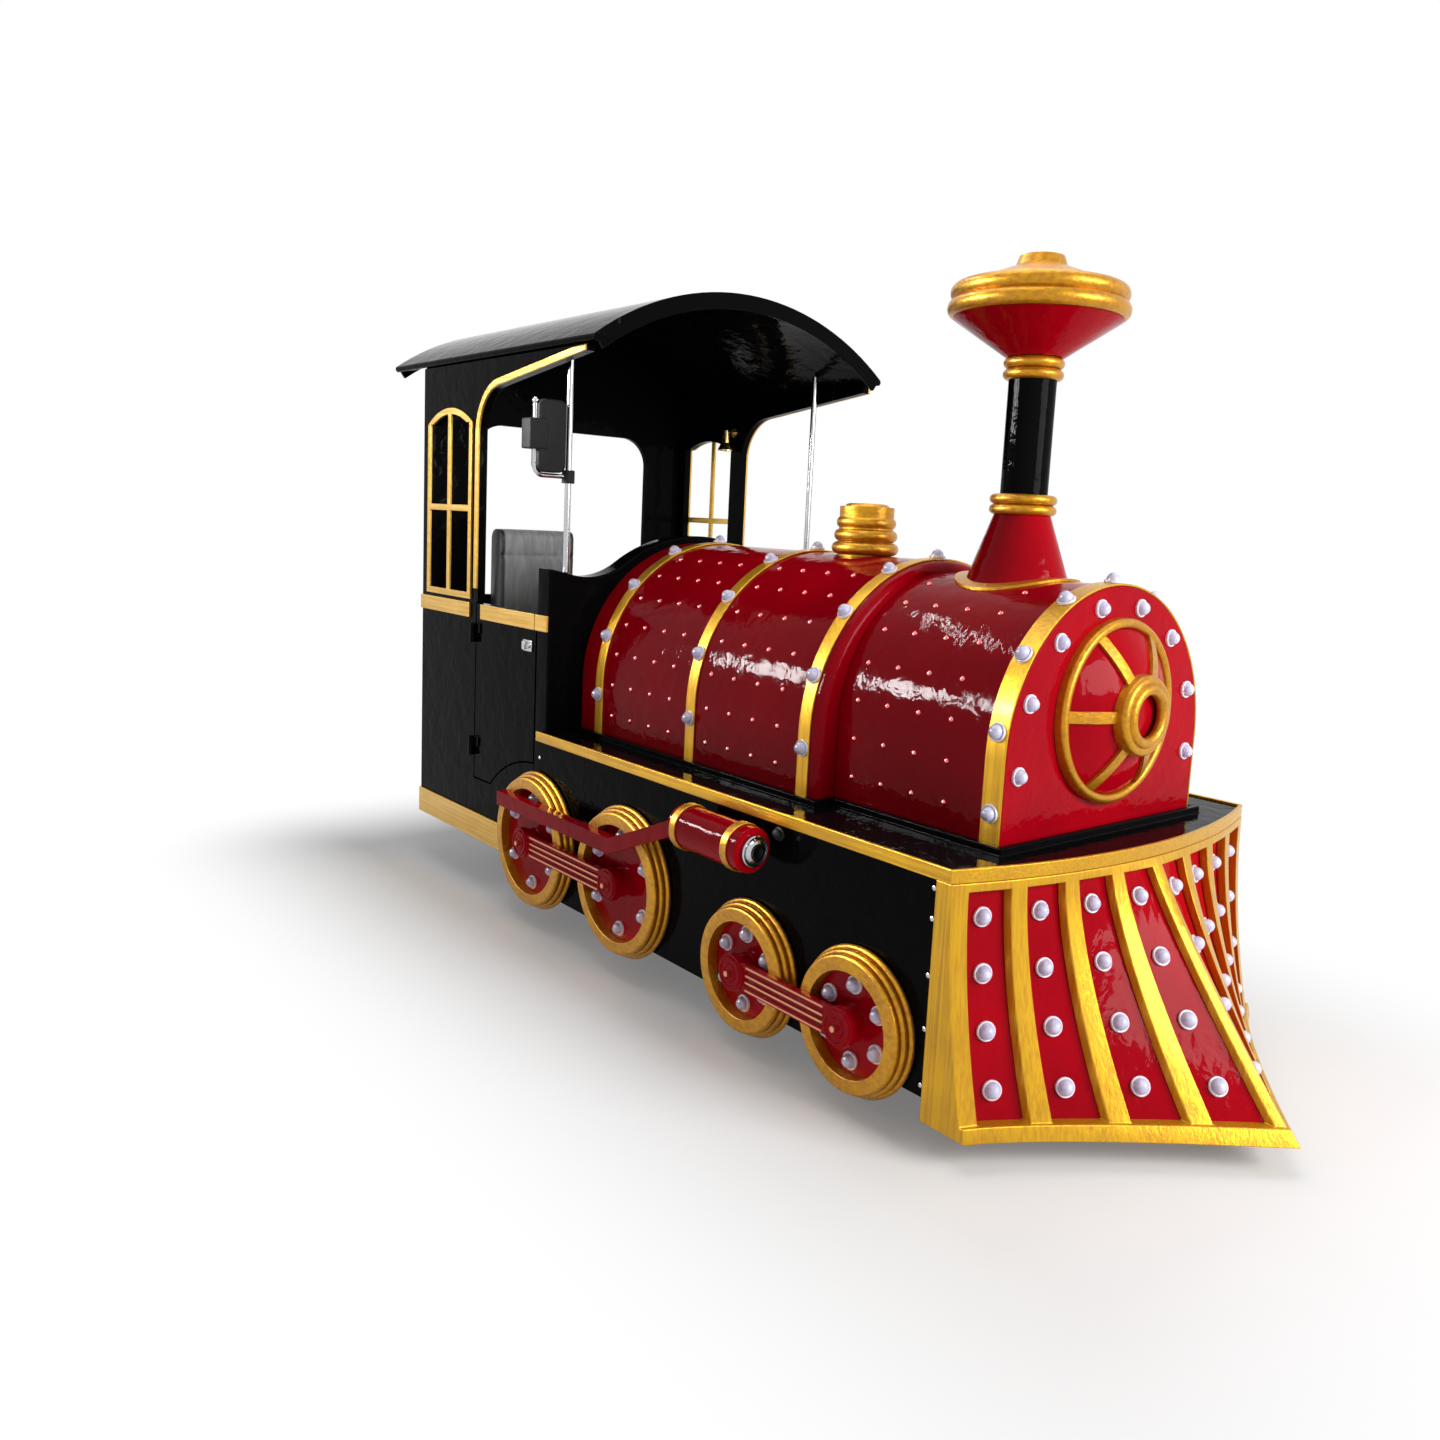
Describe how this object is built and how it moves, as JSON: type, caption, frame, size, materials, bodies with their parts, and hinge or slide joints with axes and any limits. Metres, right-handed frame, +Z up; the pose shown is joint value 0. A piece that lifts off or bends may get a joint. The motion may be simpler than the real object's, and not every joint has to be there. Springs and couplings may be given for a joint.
{
  "type": "trackless fairground train locomotive",
  "caption": "Steam-style road train locomotive: moulded red boiler with lamps, flared pilot, open cab, dummy driving wheels over a steered rubber-tyred chassis.",
  "frame": {"origin": "on the ground, under the middle of the whole locomotive's box", "axes": "+X forward to the pilot's nose, +Y to the train's left, +Z up"},
  "size_m": [3.724, 1.5656, 2.2298],
  "materials": {
    "painted_frame": "satin black paint",
    "bright_steel": "zinc plated",
    "motor_grey": "satin grey paint",
    "black_gloss": "high gloss moulded",
    "red_gloss": "high gloss crimson",
    "gold_paint": "metallic gold paint",
    "lamp_white": "translucent white",
    "chrome": "polished",
    "black_plastic": "satin",
    "brass": "polished",
    "seat_cover": "pleated woven cover",
    "tyre": "matte rubber",
    "wheel_silver": "painted silver"
  },
  "bodies": {
    "root": {"chassis_frame": "painted_frame", "front_axle": "painted_frame", "rear_axle": "painted_frame", "tow_hitch": "painted_frame", "cab_floor": "painted_frame", "drive_motor": "motor_grey", "battery_pack": "motor_grey", "deck": "black_gloss", "skirts": "black_gloss", "bulkhead": "black_gloss", "cab_side_left": "black_gloss", "cab_side_right": "black_gloss", "cab_rear": "black_gloss", "cab_roof": "black_gloss", "chimney_tube": "black_gloss", "seat_base": "black_gloss", "pilot_panel": "red_gloss", "smokebox": "red_gloss", "boiler_barrel": "red_gloss", "smokebox_door": "red_gloss", "chimney_shell": "red_gloss", "dummy_discs": "red_gloss", "side_rods": "red_gloss", "cylinders": "red_gloss", "deck_lip": "gold_paint", "pilot_frame": "gold_paint", "boiler_bands": "gold_paint", "smokebox_door_trim": "gold_paint", "chimney_trim": "gold_paint", "steam_dome": "gold_paint", "cab_trim": "gold_paint", "dummy_rims": "gold_paint", "cylinder_bands": "gold_paint", "pilot_lamps": "lamp_white", "boiler_lamps": "lamp_white", "dummy_lamps": "lamp_white", "roof_posts": "chrome", "cylinder_lamps": "chrome", "mirror": "black_plastic", "steering_column": "black_plastic", "bell": "brass", "seat_cushion": "seat_cover", "seat_back": "seat_cover"},
    "knuckle_left": {"knuckle_left": "painted_frame"},
    "knuckle_right": {"knuckle_right": "painted_frame"},
    "tie_rod": {"tie_rod": "bright_steel"},
    "wheel_front_left": {"tyre_front_left": "tyre", "rim_front_left": "wheel_silver"},
    "wheel_front_right": {"tyre_front_right": "tyre", "rim_front_right": "wheel_silver"},
    "wheel_rear_left": {"tyre_rear_left": "tyre", "rim_rear_left": "wheel_silver"},
    "wheel_rear_right": {"tyre_rear_right": "tyre", "rim_rear_right": "wheel_silver"},
    "door_left": {"door_left": "black_gloss", "door_rail_left": "gold_paint"},
    "door_right": {"door_right": "black_gloss", "door_rail_right": "gold_paint"},
    "steering_wheel": {"steering_wheel": "black_plastic"}
  },
  "joints": [
    {"name": "steer_left", "type": "hinge", "parent": "root", "child": "knuckle_left", "pos_m": [0.83, 0.372, 0.18], "axis": [0, 0, 1], "range_deg": [-30, 30]},
    {"name": "steer_right", "type": "hinge", "parent": "root", "child": "knuckle_right", "pos_m": [0.83, -0.372, 0.18], "axis": [0, 0, 1], "range_deg": [-30, 30]},
    {"name": "tie_rod_pivot", "type": "hinge", "parent": "knuckle_left", "child": "tie_rod", "pos_m": [0.7, 0.372, 0.18], "axis": [0, 0, 1], "range_deg": [-30, 30]},
    {"name": "steering_wheel_turn", "type": "hinge", "parent": "root", "child": "steering_wheel", "pos_m": [-0.647, -0.19, 0.985], "axis": [-0.8192, 0, 0.5736], "range_deg": [-270, 270]},
    {"name": "wheel_front_left_spin", "type": "hinge", "parent": "knuckle_left", "child": "wheel_front_left", "pos_m": [0.83, 0.45, 0.18], "axis": [0, 1, 0], "continuous": true},
    {"name": "wheel_front_right_spin", "type": "hinge", "parent": "knuckle_right", "child": "wheel_front_right", "pos_m": [0.83, -0.45, 0.18], "axis": [0, 1, 0], "continuous": true},
    {"name": "wheel_rear_left_spin", "type": "hinge", "parent": "root", "child": "wheel_rear_left", "pos_m": [-1, 0.45, 0.18], "axis": [0, 1, 0], "continuous": true},
    {"name": "wheel_rear_right_spin", "type": "hinge", "parent": "root", "child": "wheel_rear_right", "pos_m": [-1, -0.45, 0.18], "axis": [0, 1, 0], "continuous": true},
    {"name": "door_left_swing", "type": "hinge", "parent": "root", "child": "door_left", "pos_m": [-1.113, 0.6433, 0.77], "axis": [0, 0, 1], "range_deg": [0, 95]},
    {"name": "door_right_swing", "type": "hinge", "parent": "root", "child": "door_right", "pos_m": [-1.113, -0.6433, 0.77], "axis": [0, 0, -1], "range_deg": [0, 95]}
  ],
  "couplings": [
    {"joint": "steer_right", "follows": "steer_left", "ratio": 1},
    {"joint": "tie_rod_pivot", "follows": "steer_left", "ratio": -1},
    {"joint": "steering_wheel_turn", "follows": "steer_left", "ratio": 9}
  ]
}
